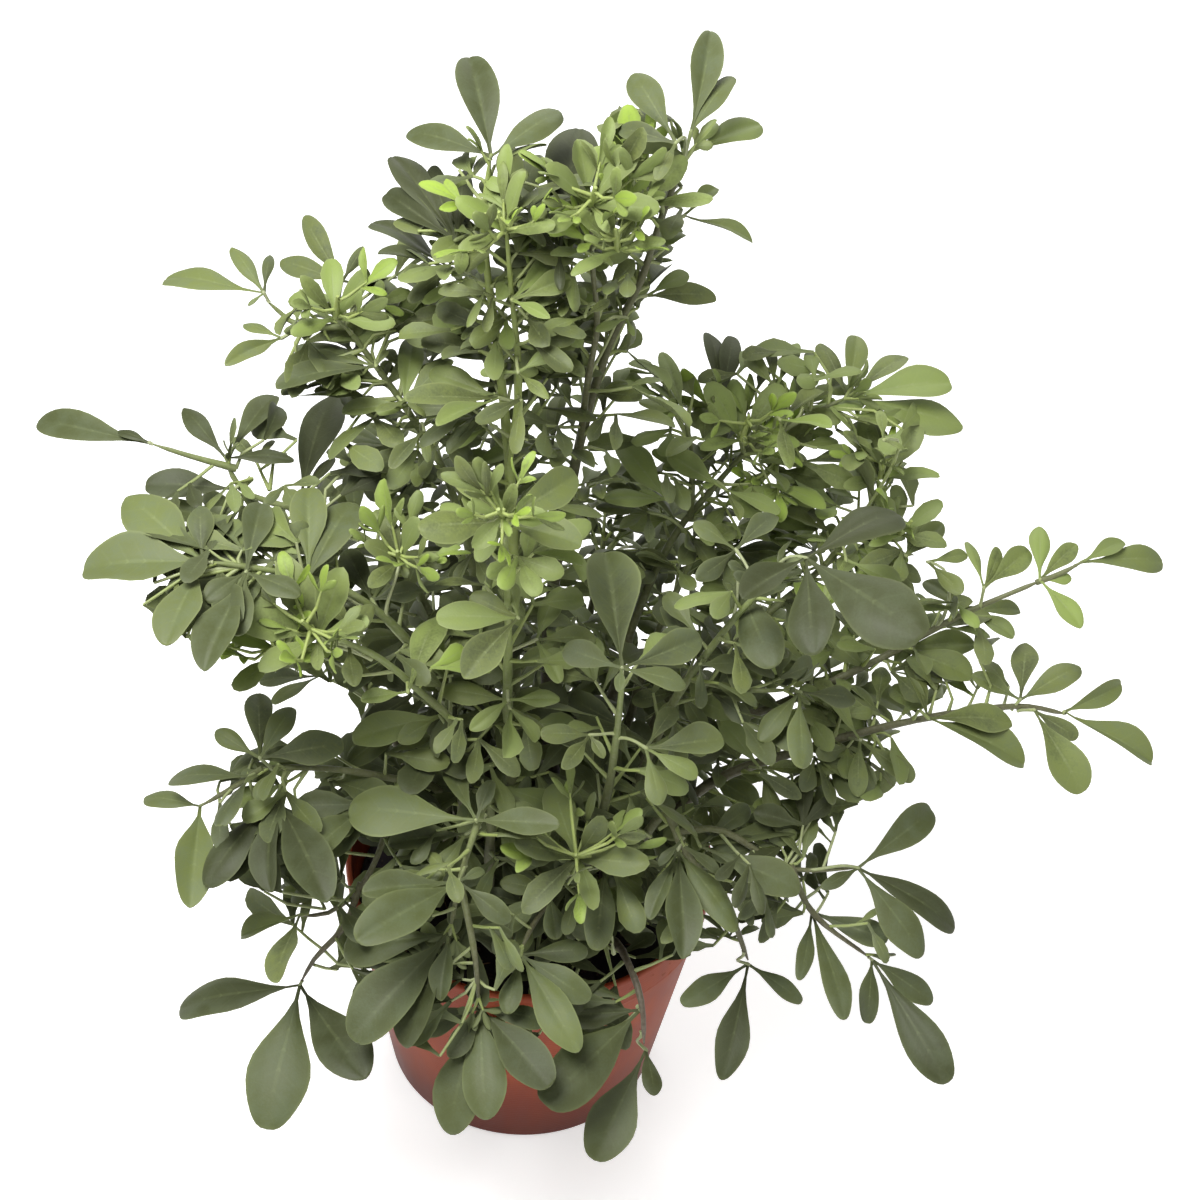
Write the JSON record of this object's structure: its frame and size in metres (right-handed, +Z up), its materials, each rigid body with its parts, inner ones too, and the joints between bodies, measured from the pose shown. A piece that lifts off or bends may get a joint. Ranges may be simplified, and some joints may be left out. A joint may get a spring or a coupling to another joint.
{
  "type": "potted rue",
  "caption": "Bushy rue plant with divided blue-green leaves on slender stems, growing in soil in a round tapered plastic nursery pot with a raised lip.",
  "frame": {"origin": "centre of the pot's underside", "axes": "+Z up along the pot's axis; -Y toward the viewer of the picture; +X to that viewer's right"},
  "size_m": [0.3494, 0.2084, 0.3577],
  "materials": {
    "pot_plastic": "moulded, faintly glossy",
    "peat": "rough, crumbly and moist",
    "leaf_green": "matt and waxy"
  },
  "bodies": {
    "root": {"pot": "pot_plastic", "shoot_back_1": "leaf_green", "shoot_back_2": "leaf_green", "shoot_back_3": "leaf_green", "shoot_back_4": "leaf_green", "shoot_front_droop": "leaf_green", "shoot_front_left": "leaf_green", "shoot_front_low": "leaf_green", "shoot_front_right": "leaf_green", "shoot_front_top": "leaf_green", "shoot_left_droop": "leaf_green", "shoot_left_far": "leaf_green", "shoot_left_high": "leaf_green", "shoot_left_low": "leaf_green", "shoot_left_mid": "leaf_green", "shoot_right_bright": "leaf_green", "shoot_right_droop": "leaf_green", "shoot_right_far": "leaf_green", "shoot_right_low": "leaf_green", "shoot_right_mid": "leaf_green", "shoot_right_top": "leaf_green", "shoot_tall_left": "leaf_green", "shoot_tall_right": "leaf_green", "soil": "peat"}
  },
  "joints": []
}
